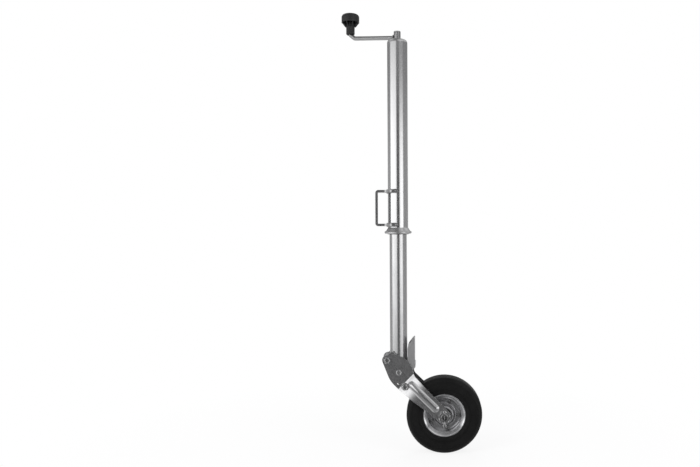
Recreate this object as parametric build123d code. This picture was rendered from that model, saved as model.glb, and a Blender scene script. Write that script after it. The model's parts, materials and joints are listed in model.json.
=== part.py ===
from build123d import *
import math
import os

# Jockey wheel with a folding fork, in millimetres, standing as it does with its leg wound out.
# X runs from the tube towards the wheel, Y away from the viewer across the fork, Z up the tube.
# Heights count from the mouth, the lower end of the outer tube. Each part is saved with its
# origin moved to the middle of the stretch of tube that the drawbar clamp grips.
os.makedirs("parts", exist_ok=True)

# Fits between pieces
slide_gap = 0.1  # guide on a sliding tube, on the radius
pin_gap = 0.05  # pin or screw turning in its hole, on the radius
seat_gap = 0.05  # piece seated in another of the same body, on the radius
free_gap = 0.3  # faces that pass each other

# Outer tube, its flared mouth and its cap
tube_radius = 30.0
tube_wall = 3.0
tube_length = 565.5  # mouth to the foot of the dome
flare_height = 19.5
mouth_radius = 40.5
rim_roll = 4.2  # radius of the rolled edge
rim_height = 5.6  # middle of the rolled edge
dome_radius = 10.0
cap_wall = 3.0
cap_spigot = 12.0
clamp_height = 340.0  # middle of the clamp's seat above the mouth

# Grip handle, a bent strip welded to the outer tube
handle_reach = 67.0  # tube axis to the outer face of the grip
handle_low = 24.3
handle_height = 106.0
handle_strip = 7.0
handle_width = 34.0
handle_bend = 8.0
handle_turn = 6.0  # towards the viewer, degrees
saddle_half_width = 35.0
saddle_start = 38.0  # distance from the tube axis where the strip starts to widen
saddle_full = 23.0  # and where it has its full width
saddle_end = 5.7
saddle_bend = 9.0
weld_radius = 3.0

# Sliding leg
leg_radius = 25.5
leg_wall = 2.5
leg_headroom = 18.5  # below the thrust collar, leg wound in
leg_overhang = 2.0  # tube below the level of the fork pivot
pivot_drop = 367.0  # mouth to the fork pivot, leg wound out
bush_length = 44.0
bush_lip_bevel = 1.6
guide_ring_length = 20.0
nut_length = 30.0
nut_inset = 2.0

# Screw spindle and its thrust bearing
screw_radius = 10.0
screw_overrun = 14.0  # spindle below its nut, leg wound out
journal_radius = 8.0
collar_radius = 17.0
collar_height = 5.0
race_radius = 15.0
race_height = 2.7
race_spacing = 3.6
ball_radius = 2.4
ball_count = 12
ball_play = 0.1
cage_height = 1.4

# Crank
crank_lift = 0.5  # hub above the cap
hub_radius = 10.1
hub_height = 24.5
hub_roof = 4.0
roll_pin_radius = 2.5
roll_pin_height = 17.5  # above the foot of the hub
rod_radius = 6.2
arm_height = 5.6  # rod above the foot of the hub
arm_reach = 156.0
arm_turn = 157.9  # angle of the arm from +X, degrees
arm_knee = (141.5, 18.0)  # reach and height of the first bend, above the foot of the hub
arm_elbow_height = 30.0
arm_bend = 8.0
arm_weld_radius = 8.8
arm_weld_length = 7.0
sink = 1.0  # depth by which a fused piece enters the other
hub_chamfer = 0.8

# Knob
knob_low = 28.5  # foot of the knob above the foot of the hub
knob_height = 65.0
stem_radius = 12.9
stem_chamfer = 4.0
stem_hollow = 10.4
stem_hollow_depth = 9.5
knob_radius = 26.75
knob_skirt = 3.2
skirt_low = 38.5  # foot of the skirt above the foot of the knob
rib_low = 26.5
rib_low_radius = 17.0
rib_count = 8
rib_width = 2.6
flute_radius = 6.0
flute_depth = 0.9
knob_roof = 13.5
knob_top_round = 11.0
knob_crown = 1.0
rib_inset = 1.5
clip_radius = 8.8
clip_height = 1.2
clip_drop = 3.5  # clip below the tip of the rod

# Fork: two pressed plates from the pivot down to the axle
fork_length = 233.7
fork_droop = 44.46  # below horizontal, degrees
pivot_off_leg = 7.2  # pivot bolt off the wall of the leg
plate_thickness = 4.0
cheek_inner = 30.0  # half of the gap between the cheeks
arm_inner = 41.0  # half of the gap between the arms
splay_start = 84.0
splay_end = fork_length - 81.0
splay_bend = 12.0
axle_end_radius = 19.0
nose_radius = 14.3
nose_heel = (-5.8, -13.1)
nose_top = (-11.2, 8.9)
nose_crown = (3.7, 27.8)
cheek_crown = (33.0, 38.8)
cheek_top = (splay_start + 4.0, 22.0)
cheek_heel = (49.5, -37.7)
cheek_belly = (splay_start + 1.0, -37.7)
arm_belly = (fork_length - 110.0, -33.6)
nose_round = 20.0
top_round = 18.0
heel_round = 80.0
bead_gap = 5.0  # middle of the bead's round end off the washer of the cross bolt
bead_end = fork_length - 36.0
bead_offset = -1.5
bead_half_width = 11.5
bead_height = 3.5
stud_place = (50.0, -2.4)
stud_radius = 5.0
stud_head_radius = 8.2
stud_head_height = 1.2
stud_dimple_radius = 4.6
tyre_to_cross_bolt = 32.5
cross_drop = 18.5  # cross bolt below the line from pivot to axle
cheek_hole_offset = (-19.5, -8.0)  # from the cross bolt
cheek_hole_radius = 3.1
cross_boss_radius = 10.6
spacer_wall = 2.8

# Pivot and cross bolts
bolt_radius = 5.0
bolt_flats = 17.0
bolt_head_height = 6.4
bolt_nut_height = 8.4
bolt_end = 3.0
washer_radius = 10.0
washer_height = 2.0

# Ears that carry the fork on the leg
ear_thickness = 4.0
ear_gap = 0.1  # ear off the tube's side
ear_radius = 11.0
ear_top = 23.0  # above the pivot
ear_reach = 28.7  # from the pivot towards the wheel
ear_corner = 7.0

# Latch, a channel beside the tube that props the fork
latch_sheet = 3.0
latch_half_width = 29.0
latch_mouth_gap = 4.6  # web off the rolled edge of the mouth, leg wound in
latch_top = 62.5  # tip above the fork pivot
latch_top_round = 27.0
latch_front_x = 27.1
latch_front_top = 40.0
latch_foot_top = -9.0
latch_foot_step = 2.0
latch_foot_low = 24.0
latch_foot_round = 9.0
lobe_radius = 10.0
prop_thickness = 4.0
prop_gap = 2.6  # top of the prop off the leg
prop_under = 8.0  # its lower end under the leg's wall
prop_drop = 13.5

# Axle and wheel
axle_radius = 10.0
axle_bore = 6.5
axle_end = 61.0
axle_pin_radius = 1.6
axle_pin_inset = 2.6
axle_pin_top = 13.5  # foot of the pin's eye above the axle's middle
axle_pin_legs = 27.0  # tips of its legs below the axle's middle
axle_pin_spread = 4.5
axle_pin_eye = 3.0
axle_nut_flats = 30.0
axle_nut_height = 8.0
axle_washer_radius = 17.5
axle_washer_height = 2.5
bearing_radius = 23.5
bearing_width = 14.0
bearing_outer_wall = 4.0
bearing_inner_wall = 4.0
bearing_outboard = 26.0  # outer face from the wheel's middle
spacer_radius = 13.5
wheel_radius = 111.4
tyre_half_width = 35.0
rim_radius = 62.3
rim_half_width = 29.5
rim_sheet = 2.5
crease = 1.5  # size of the bends in the rim
well_radius = 50.0
well_end = 22.0
ridge_radius = 32.7
ridge_height = 15.0
rim_bolt_circle = 41.5
rim_bolt_count = 5
rim_bolt_turn = 66.0
rim_bolt_radius = 3.0
rim_bolt_flats = 10.0
rim_bolt_head = 4.0
rim_nut_height = 5.0
side_line = 71.5  # radius of the line round the tyre's side
side_line_depth = 1.3
shoulder = 11.5  # width of the rounded shoulder
tread_groove_width = 3.0
tread_groove_depth = 2.0
tread_groove_place = 12.0  # from the middle of the tread

# Travel
screw_pitch = 4.0
crank_turns = 77.75
stroke = screw_pitch * crank_turns

# Derived places
tube_bore = tube_radius - tube_wall
dome_top = tube_length + dome_radius
pivot_x = -leg_radius - pivot_off_leg
pivot_z = -pivot_drop
leg_low = pivot_z - leg_overhang
collar_top = dome_top - cap_wall - 2 * race_height - race_spacing
collar_low = collar_top - collar_height
leg_high = collar_low - leg_headroom - stroke
leg_bore = leg_radius - leg_wall
hub_low = dome_top + crank_lift
cheek_outer = cheek_inner + plate_thickness
arm_outer = arm_inner + plate_thickness
bell_radius = mouth_radius - rim_roll
latch_web_x = mouth_radius + latch_mouth_gap + latch_sheet + latch_foot_step
to_cross_bolt = math.sqrt((wheel_radius + tyre_to_cross_bolt) ** 2 - cross_drop**2)
cross_place = (fork_length - to_cross_bolt, -cross_drop)
bead_start = cross_place[0] + washer_radius + bead_gap
cheek_hole_place = (cross_place[0] + cheek_hole_offset[0], cross_place[1] + cheek_hole_offset[1])
sheet_start = -2 * axle_end_radius
sheet_end = fork_length + 2 * axle_end_radius
splay_rise = arm_inner - cheek_inner
splay_radius = ((splay_end - splay_start) ** 2 + splay_rise**2) / (2 * splay_rise)
washer_edge = splay_end - cross_place[0] - washer_radius  # back from the end of the splay
washer_edge_face = math.sqrt((splay_radius + plate_thickness) ** 2 - washer_edge**2) - splay_radius
cross_boss_face = arm_inner + washer_edge_face + seat_gap
pivot_place = (pivot_x, pivot_z)
BASE = (Align.CENTER, Align.CENTER, Align.MIN)


def save(name, shape):
    """Write one part, moved to the clamp seat's origin."""
    export_step(Pos(0, 0, -clamp_height) * shape, f"parts/{name}.step")


def disc(radius, low, high):
    """Cylinder about Z between two heights."""
    return Pos(0, 0, low) * Cylinder(radius, high - low, align=BASE)


def ring(outer, inner, low, high):
    """Tube about Z between two heights."""
    return disc(outer, low, high) - disc(inner, low, high)


def turned(*points):
    """Solid of revolution about Z from straight runs through (radius, height) points."""
    return revolve(Plane.XZ * make_face(Polyline(*points, close=True)), Axis.Z)


def hexagon(flats, low, high):
    """Hexagonal prism with its corners chamfered at both ends."""
    corner = flats / math.sqrt(3)
    prism = Pos(0, 0, low) * extrude(RegularPolygon(flats / 2, 6, major_radius=False), high - low)
    blank = disc(corner, low, high)
    return prism & chamfer(blank.edges(), (corner - flats / 2) * 0.9)


def across(x, z):
    """Place something made about Z so that it lies across the fork, its top towards the viewer."""
    return Pos(x, 0, z) * Rot(90, 0, 0)


def fork_point(along, above):
    """Place on the fork, from its pivot along to the axle and square to that, as (x, z)."""
    tilt = math.radians(fork_droop)
    x = pivot_x + along * math.cos(tilt) + above * math.sin(tilt)
    return x, pivot_z - along * math.sin(tilt) + above * math.cos(tilt)


def fork_frame():
    """The fork's own frame: X from the pivot to the axle, Z square to that."""
    return Pos(pivot_x, 0, pivot_z) * Rot(0, fork_droop, 0)


def arm_frame():
    """The crank's own frame: X along the arm, Z from the foot of the hub."""
    return Pos(0, 0, hub_low) * Rot(0, 0, arm_turn)


def both_sides(near):
    """A piece and its mirror image across the fork."""
    return Compound(children=[near, mirror(near, Plane.XZ)])


# Outer tube and what is fixed to it


def outer_tube():
    """Tube with its mouth flared to a rolled edge."""
    body = turned(
        (tube_bore, tube_length),
        (tube_radius, tube_length),
        (tube_radius, flare_height),
        (bell_radius, rim_height + rim_roll),
        (bell_radius, rim_height),
        (tube_bore, flare_height - tube_wall),
    )
    return body + Pos(0, 0, rim_height) * Torus(bell_radius, rim_roll)


def guide_bush():
    """Bush in the mouth, with a lip that closes the flare from below."""
    bore = leg_radius + slide_gap
    outside = tube_bore - seat_gap
    lip = mouth_radius - 2 * rim_roll - seat_gap
    flare_foot = flare_height - tube_wall - 2 * seat_gap
    lean = (flare_height - tube_wall - rim_height) / (bell_radius - tube_bore)
    return turned(
        (bore, 0),
        (lip - bush_lip_bevel, 0),
        (lip, bush_lip_bevel),
        (lip, flare_foot - (lip - tube_bore) * lean),
        (outside, flare_foot),
        (outside, bush_length),
        (bore, bush_length),
    )


def top_cap():
    """Domed cap with a spigot inside the tube."""
    flat = tube_radius - dome_radius
    spigot = tube_bore - seat_gap
    bore = journal_radius + 2 * free_gap
    with BuildSketch(Plane.XZ) as profile:
        with BuildLine():
            Polyline(
                (tube_radius, tube_length),
                (spigot, tube_length),
                (spigot, tube_length - cap_spigot),
                (spigot - cap_wall, tube_length - cap_spigot),
                (spigot - cap_wall, tube_length),
                (flat - cap_wall / 3, dome_top - cap_wall),
                (bore, dome_top - cap_wall),
                (bore, dome_top),
                (flat, dome_top),
            )
            RadiusArc((flat, dome_top), (tube_radius, tube_length), dome_radius)
        make_face()
    return revolve(profile.sketch, Axis.Z)


def grip_handle():
    """Strip bent to a U, widened to a saddle on the tube and welded round it."""
    high = handle_low + handle_height
    side = FilletPolyline(
        (0, handle_low),
        (-handle_reach, handle_low),
        (-handle_reach, high),
        (0, high),
        radius=handle_bend,
    )
    inner = FilletPolyline(
        (0, handle_low + handle_strip),
        (handle_strip - handle_reach, handle_low + handle_strip),
        (handle_strip - handle_reach, high - handle_strip),
        (0, high - handle_strip),
        radius=handle_bend - handle_strip,
    )
    ends = [Line(side @ 0, inner @ 0), Line(side @ 1, inner @ 1)]
    strip = extrude(Plane.XZ * make_face([side, inner] + ends), saddle_half_width, both=True)
    half = handle_width / 2
    plan = make_face(
        Polyline(
            (-handle_reach, -half),
            (-saddle_start, -half),
            (-saddle_full, -saddle_half_width),
            (-saddle_end, -saddle_half_width),
            (-saddle_end, saddle_half_width),
            (-saddle_full, saddle_half_width),
            (-saddle_start, half),
            (-handle_reach, half),
            close=True,
        )
    )
    bends = [v for v in plan.vertices() if -saddle_start - 1 < v.X < -saddle_full + 1]
    shape = strip & extrude(fillet(bends, saddle_bend), high + handle_low)
    cover = Pos(-tube_radius, 0, 0) * Box(2 * tube_radius - 2 * saddle_end, 4 * tube_radius, 4 * high)
    for level in (handle_low + handle_strip / 2, high - handle_strip / 2):
        bead = Pos(0, 0, level) * Torus(tube_radius + weld_radius / 2, weld_radius + handle_strip / 3)
        shape += bead & cover
    return Rot(0, 0, handle_turn) * shape - disc(tube_radius, 0, tube_length)


# Sliding leg


def inner_tube():
    return ring(leg_radius, leg_bore, leg_low, leg_high)


def spindle_nut():
    top = leg_high - nut_inset
    return ring(leg_bore - seat_gap, screw_radius + pin_gap, top - nut_length, top)


def guide_ring():
    top = leg_high - nut_inset
    return ring(tube_bore - slide_gap, leg_radius + seat_gap, top - guide_ring_length, top)


def hull(*shapes):
    """Flat face round several shapes drawn on XZ, as reach and height."""
    edges = [edge for shape in shapes for edge in shape.edges()]
    return make_hull(edges)


def on_side(face, inner_face, thickness):
    """Plate on the near side, cut to a face drawn as reach and height."""
    return extrude(Plane.XZ.offset(inner_face) * face, thickness)


def ear():
    """Ear welded to the near side of the leg, round the fork pivot."""
    outline = hull(
        Pos(pivot_x, pivot_z) * Circle(ear_radius),
        Pos(pivot_x + ear_reach - ear_corner, pivot_z) * Circle(ear_corner),
        Pos(ear_corner - leg_radius, pivot_z + ear_top - ear_corner) * Circle(ear_corner),
    )
    plate = on_side(outline, leg_radius + ear_gap, ear_thickness)
    return plate - across(pivot_x, pivot_z) * disc(bolt_radius + pin_gap, 0, 2 * leg_radius)


def pivot_sleeve():
    half = leg_radius + ear_gap
    return across(pivot_x, pivot_z) * ring(pivot_off_leg - ear_gap, bolt_radius + pin_gap, -half, half)


# Bolts across the fork, each with its head on the far side and its nut towards the viewer


def bolt(place, seat):
    """Bolt with its head on the far side; seat is how far its washers stand from the middle."""
    under_head = seat + washer_height
    end = under_head + bolt_nut_height + bolt_end
    head = hexagon(bolt_flats, -under_head - bolt_head_height, -under_head)
    shank = disc(bolt_radius, -under_head, end)
    return across(*place) * (head + chamfer(shank.edges().sort_by(Axis.Z)[-1], bolt_radius / 5))


def bolt_nut(place, seat):
    low = seat + washer_height
    nut = hexagon(bolt_flats, low, low + bolt_nut_height)
    return across(*place) * (nut - disc(bolt_radius + pin_gap, 0, 2 * low))


def bolt_washers(place, seat):
    near = ring(washer_radius, bolt_radius + pin_gap, seat, seat + washer_height)
    return both_sides(across(*place) * near)


# Screw spindle and its thrust bearing


def spindle():
    """Screw, thrust collar and the journal that carries the crank, on one axis."""
    screw_low = leg_high - nut_inset - nut_length - screw_overrun
    journal_top = hub_low + hub_height - hub_roof
    screw = disc(screw_radius, screw_low, collar_low)
    shaft = chamfer(screw.edges().sort_by(Axis.Z)[0], screw_radius / 5)
    shaft += disc(collar_radius, collar_low, collar_top)
    shaft += disc(journal_radius, collar_top, journal_top)
    return shaft - roll_pin_hole()


def race(low, groove_side):
    """Bearing race whose ball groove is on its upper (1) or lower (-1) face."""
    face = low + race_height if groove_side > 0 else low
    middle = face + groove_side * race_spacing / 2
    groove = Pos(0, 0, middle) * Torus((journal_radius + race_radius) / 2, ball_radius + ball_play)
    return ring(race_radius, journal_radius + pin_gap, low, low + race_height) - groove


def thrust_balls():
    """Caged balls between the two races."""
    track = (journal_radius + race_radius) / 2
    middle = dome_top - cap_wall - race_height - race_spacing / 2
    cage = ring(track + ball_radius * 0.8, track - ball_radius * 0.8, -cage_height / 2, cage_height / 2)
    balls = PolarLocations(track, ball_count) * Sphere(ball_radius)
    return Pos(0, 0, middle) * (cage + balls)


# Crank and knob


def roll_pin_hole():
    """Cutter for the roll pin that ties the hub to the spindle, square to the arm."""
    pin = Rot(90, 0, 0) * disc(roll_pin_radius + pin_gap, -2 * hub_radius, 2 * hub_radius)
    return arm_frame() * Pos(0, 0, roll_pin_height) * pin


def crank_hub():
    hub = chamfer(disc(hub_radius, 0, hub_height).edges().sort_by(Axis.Z)[-1], hub_chamfer)
    hub -= disc(journal_radius + seat_gap, 0, hub_height - hub_roof + seat_gap)
    return arm_frame() * hub - roll_pin_hole()


def crank_pin():
    """Rolled spring pin, hollow, a little short of the hub on both sides."""
    across_hub = Rot(90, 0, 0) * disc(roll_pin_radius, sink - hub_radius, hub_radius - sink)
    hollow = Rot(90, 0, 0) * disc(roll_pin_radius * 0.6, -2 * hub_radius, 2 * hub_radius)
    return arm_frame() * Pos(0, 0, roll_pin_height) * (across_hub - hollow)


def rod_tip():
    """Height of the rod's upper end above the foot of the hub."""
    return knob_low + knob_height - knob_roof


def crank_arm():
    """Round rod from the hub, bent up into the knob, with its weld at the hub."""
    path = FilletPolyline(
        (0, 0, arm_height),
        (arm_knee[0], 0, arm_knee[1]),
        (arm_reach, 0, arm_elbow_height),
        (arm_reach, 0, rod_tip()),
        radius=arm_bend,
    )
    start = Plane(path @ 0, z_dir=path % 0)
    rod = sweep(start * Circle(rod_radius), path)
    weld = Cone(arm_weld_radius, rod_radius, arm_weld_length, align=BASE)
    arm = rod + start * Pos(0, 0, hub_radius - sink) * weld
    arm -= disc(hub_radius, -hub_height, 2 * hub_height)
    arm -= disc(2 * hub_radius, -hub_height, 0)
    return arm_frame() * arm


def knob_clip():
    """Push-on ring that keeps the knob on the rod."""
    top = rod_tip() - clip_drop
    clip = ring(clip_radius, rod_radius + seat_gap, top - clip_height, top)
    return arm_frame() * Pos(arm_reach, 0, 0) * clip


def knob():
    """Moulded mushroom knob: hollow cap on ribs, fluted stem, a bore that turns on the rod."""
    top = knob_height
    roof = top - knob_roof
    skirt_inner = knob_radius - knob_skirt
    with BuildSketch(Plane.XZ) as profile:
        with BuildLine():
            Polyline(
                (0, top),
                (0, 0),
                (stem_radius - stem_chamfer, 0),
                (stem_radius, stem_chamfer),
                (stem_radius, roof),
                (skirt_inner, roof),
                (skirt_inner, skirt_low),
                (knob_radius, skirt_low),
                (knob_radius, top - knob_top_round),
            )
            rounding = TangentArc(
                (knob_radius, top - knob_top_round),
                (knob_radius - knob_top_round, top - knob_crown),
                tangent=(0, 1),
            )
            Line(rounding @ 1, (0, top))
        make_face()
    shape = revolve(profile.sketch, Axis.Z)
    rib_side = make_face(
        Polyline(
            (stem_radius - sink, rib_low),
            (rib_low_radius, rib_low),
            (knob_radius - rib_inset, skirt_low - sink),
            (knob_radius - rib_inset, roof + sink),
            (stem_radius - sink, roof + sink),
            close=True,
        )
    )
    rib = extrude(Plane.XZ * rib_side, rib_width / 2, both=True)
    flute = Pos(stem_radius + flute_radius - flute_depth, 0, 0) * disc(flute_radius, -sink, rib_low)
    step = 360 / rib_count
    for number in range(rib_count):
        shape += Rot(0, 0, number * step) * rib
    for number in range(rib_count):
        shape -= Rot(0, 0, (number + 0.5) * step) * flute
    tip = rod_tip() - knob_low
    clip_floor = tip - clip_drop - clip_height - free_gap
    shape -= disc(rod_radius + pin_gap, -sink, tip + free_gap)
    shape -= disc(stem_hollow, -sink, stem_hollow_depth)
    shape -= disc(clip_radius + free_gap, clip_floor, tip + free_gap)
    return arm_frame() * Pos(arm_reach, 0, knob_low) * shape


# Fork


def plate_outline():
    """Side view of a fork plate in the fork's frame: round cheek, then the arm to the axle."""
    with BuildSketch() as outline:
        with BuildLine():
            ThreePointArc(nose_heel, (-nose_radius, 0), nose_top)
            Line(nose_top, nose_crown)
            ThreePointArc(nose_crown, cheek_crown, cheek_top)
            Line(cheek_top, (fork_length, axle_end_radius))
            ThreePointArc(
                (fork_length, axle_end_radius),
                (fork_length + axle_end_radius, 0),
                (fork_length, -axle_end_radius),
            )
            Polyline((fork_length, -axle_end_radius), arm_belly, cheek_belly, cheek_heel, nose_heel)
        make_face()
        for corner, radius in ((cheek_top, top_round), (cheek_heel, heel_round), (nose_crown, nose_round)):
            fillet(outline.vertices().sort_by_distance(corner)[0], radius)
    return outline.sketch


def sheet_line(offset):
    """The plate seen on its edge, at an offset from its inner face: cheek, curved splay, arm."""
    radius = splay_radius + offset
    foot = (splay_end - math.sqrt(splay_rise * (2 * radius - splay_rise)), cheek_inner + offset)
    top = (splay_end, arm_inner + offset)
    splay = TangentArc(top, foot, tangent=(-1, 0))
    return [Line((sheet_start, foot[1]), foot), splay, Line(top, (sheet_end, top[1]))]


def sheet_profile():
    """Section of the plate: flat cheek, a sharp bend out, then a long curve into the arm."""
    inner = sheet_line(0)
    outer = sheet_line(plate_thickness)
    ends = [Line(inner[0] @ 0, outer[0] @ 0), Line(inner[2] @ 1, outer[2] @ 1)]
    profile = make_face(inner + outer + ends)
    for line, radius in ((inner, splay_bend + plate_thickness), (outer, splay_bend)):
        corner = line[0] @ 1
        profile = fillet(profile.vertices().sort_by_distance(corner)[0], radius)
    return profile


def bead_radius():
    return (bead_half_width**2 + bead_height**2) / (2 * bead_height)


def bead_core(radius):
    """Round-ended bar along the arm's outer face that the pressed bead is cut from."""
    depth = plate_thickness + bead_height - bead_radius()
    top = (splay_end, -arm_inner - depth)
    bend = splay_radius + depth
    back = bend - math.sqrt(bend**2 - (splay_end - bead_start) ** 2)
    run = Line((bead_end, top[1]), top)
    curve = TangentArc(top, (bead_start, top[1] + back), tangent=(-1, 0))
    path = Pos(0, 0, bead_offset) * Wire([run, curve])
    core = sweep(Plane(path @ 0, z_dir=path % 0) * Circle(radius), path)
    for end in (path @ 0, path @ 1):
        core += Pos(*end) * Sphere(radius)
    return core


def fork_plate():
    """Near plate of the fork, in the fork's frame."""
    deep = 4 * cheek_inner
    blank = extrude(Pos(0, 0, -deep / 2) * mirror(sheet_profile(), Plane.XZ), deep)
    outside = extrude(Pos(0, 0, -deep / 2) * mirror(outer_half(), Plane.XZ), deep)
    prism = extrude(Plane.XZ * plate_outline(), 2 * arm_outer, both=True)
    x, z = cross_place
    boss = Pos(x, 0, z) * Rot(90, 0, 0) * disc(cross_boss_radius, cheek_inner, cross_boss_face)
    shape = (blank & prism) + (bead_core(bead_radius()) & outside)
    shape -= bead_core(bead_radius() - plate_thickness) - outside
    shape += boss & prism
    holes = (
        ((0, 0), bolt_radius + pin_gap),
        (cross_place, bolt_radius + pin_gap),
        (stud_place, stud_radius + pin_gap),
        (cheek_hole_place, cheek_hole_radius),
        ((fork_length, 0), axle_radius + pin_gap),
    )
    for (x, z), radius in holes:
        shape -= Pos(x, 0, z) * Rot(90, 0, 0) * disc(radius, 0, 2 * arm_outer)
    return shape


def outer_half():
    """Everything outside the middle of the sheet, to trim the bead."""
    middle = sheet_line(plate_thickness / 2)
    far = Polyline(middle[0] @ 0, (sheet_start, 2 * arm_outer), (sheet_end, 2 * arm_outer), middle[2] @ 1)
    return make_face(middle + [far])


def cross_spacer():
    half = cheek_inner - seat_gap
    return across(*fork_point(*cross_place)) * ring(
        bolt_radius + spacer_wall, bolt_radius + pin_gap, -half, half
    )


def latch_studs():
    """Two short shouldered studs riveted in the cheeks, on which the latch turns."""
    inner = latch_half_width - latch_sheet + free_gap
    stud = disc(stud_radius, inner, cheek_outer)
    head = disc(stud_head_radius, cheek_outer, cheek_outer + stud_head_height)
    head = chamfer(head.edges().sort_by(Axis.Z)[-1], stud_head_height / 2)
    head -= disc(stud_dimple_radius, cheek_outer + stud_head_height / 3, cheek_outer + 2 * stud_head_height)
    return both_sides(across(*fork_point(*stud_place)) * (stud + head))


# Latch


def latch_outline():
    """Side view of the latch's flange, as reach from the tube axis and height above the pivot."""
    stud_x, stud_z = fork_point(*stud_place)
    stud_z -= pivot_z
    back = latch_web_x - latch_foot_step
    with BuildSketch() as outline:
        with BuildLine():
            Polyline(
                (latch_front_x, -leg_overhang),
                (latch_front_x, latch_front_top),
                (back - latch_sheet, latch_top),
                (back, latch_top),
                (back, latch_foot_top),
                (latch_web_x, latch_foot_top - latch_foot_step),
                (latch_web_x, -latch_foot_low),
                (stud_x + lobe_radius * 0.3, stud_z - lobe_radius * 0.95),
                (stud_x - lobe_radius * 0.7, stud_z + lobe_radius * 0.7),
                (latch_front_x, -leg_overhang),
            )
        make_face()
        with Locations((stud_x, stud_z)):
            Circle(lobe_radius)
        fillet(outline.vertices().sort_by_distance((latch_web_x, -latch_foot_low))[0], latch_foot_round)
        fillet(outline.vertices().sort_by_distance((latch_front_x, latch_front_top))[0], latch_top_round)
    return outline.sketch


def latch_channel():
    """Channel pressed from sheet: web on the wheel's side, a flange along each side of the tube."""
    between = 2 * (latch_half_width - latch_sheet)
    solid = extrude(Plane.XZ * (Pos(0, pivot_z) * latch_outline()), latch_half_width, both=True)
    inside = Pos(-latch_sheet, pivot_z) * latch_outline()
    hollow = extrude(Plane.XZ * inside, between / 2, both=True)
    reach = 4 * latch_web_x
    front = Pos(latch_front_x - reach / 2, 0, pivot_z) * Box(reach, between, 4 * latch_top)
    foot = Pos(0, 0, pivot_z - latch_foot_low - latch_top)
    below = foot * Box(2 * (latch_web_x - latch_sheet), between, 2 * latch_top)
    hole = disc(stud_radius + pin_gap, -2 * latch_half_width, 2 * latch_half_width)
    return solid - hollow - front - below - across(*fork_point(*stud_place)) * hole


def latch_prop():
    """Sloping plate welded between the flanges, the shoulder that stands under the tube's edge."""
    start = Vector(leg_radius + prop_gap, leg_low)
    end = Vector(leg_radius - prop_under, leg_low - prop_drop)
    run = (end - start).normalized()
    side = Vector(-run.Y, run.X) * prop_thickness
    outline = make_face(Polyline(start, end, end + side, start + side, close=True))
    return extrude(Plane.XZ * outline, latch_half_width - latch_sheet - seat_gap, both=True)


# Axle and wheel, made about Z with the viewer's side up, then laid across the fork


def on_axle(shape):
    return across(*fork_point(fork_length, 0)) * shape


def axle():
    """Hollow axle with a cross hole near each end for its split pin."""
    tube = ring(axle_radius, axle_bore, -axle_end, axle_end)
    hole = Rot(90, 0, 0) * disc(axle_pin_radius + seat_gap, -2 * axle_radius, 2 * axle_radius)
    for level in (axle_end - axle_pin_inset, axle_pin_inset - axle_end):
        tube -= Pos(0, 0, level) * hole
    return on_axle(tube)


def split_pin():
    """Split pin upright through the axle: an eye on top, two legs bent apart below."""
    wire = axle_pin_radius / 2
    pin = Pos(0, axle_pin_top + axle_pin_eye) * Torus(axle_pin_eye, wire)
    for side in (-wire, wire):
        spread = math.copysign(axle_pin_spread, side)
        bend = -axle_radius - axle_pin_eye
        leg = FilletPolyline(
            (side, axle_pin_top), (side, bend), (spread, -axle_pin_legs), radius=axle_pin_eye
        )
        pin += sweep(Plane(leg @ 0, z_dir=leg % 0) * Circle(wire - seat_gap / 2), leg)
    return pin


def axle_pins():
    level = axle_end - axle_pin_inset
    return on_axle(Compound(children=[Pos(0, 0, level) * split_pin(), Pos(0, 0, -level) * split_pin()]))


def mirrored_rings(outer, inner, low, high):
    near = ring(outer, inner, low, high)
    return both_sides(on_axle(near))


def axle_spacers():
    return mirrored_rings(spacer_radius, axle_radius + pin_gap, bearing_outboard, arm_inner - seat_gap)


def axle_washers():
    low = arm_outer
    return mirrored_rings(axle_washer_radius, axle_radius + pin_gap, low, low + axle_washer_height)


def axle_nuts():
    """A nut on each side, its flats square to the fork."""
    low = arm_outer + axle_washer_height
    nut = hexagon(axle_nut_flats, low, low + axle_nut_height) - disc(axle_radius + pin_gap, 0, 2 * low)
    return both_sides(on_axle(Rot(0, 0, 60 - fork_droop) * nut))


def bearing_inner():
    """Inner ring of the near bearing with its shield."""
    low = bearing_outboard - bearing_width
    core = ring(axle_radius + bearing_inner_wall, axle_radius + pin_gap, low, bearing_outboard)
    shield_edge = bearing_radius - bearing_outer_wall - free_gap
    shield_foot = axle_radius + bearing_inner_wall / 2
    shield = ring(shield_edge, shield_foot, bearing_outboard - 2 * sink, bearing_outboard - sink)
    return on_axle(core + shield)


def bearing_outer():
    low = bearing_outboard - bearing_width
    outer = bearing_radius - seat_gap
    return on_axle(ring(outer, bearing_radius - bearing_outer_wall, low, bearing_outboard))


def bearing_spacer():
    """Tube that holds the two inner rings apart."""
    half = bearing_outboard - bearing_width
    return on_axle(ring(spacer_radius, axle_radius + pin_gap, -half, half))


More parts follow.
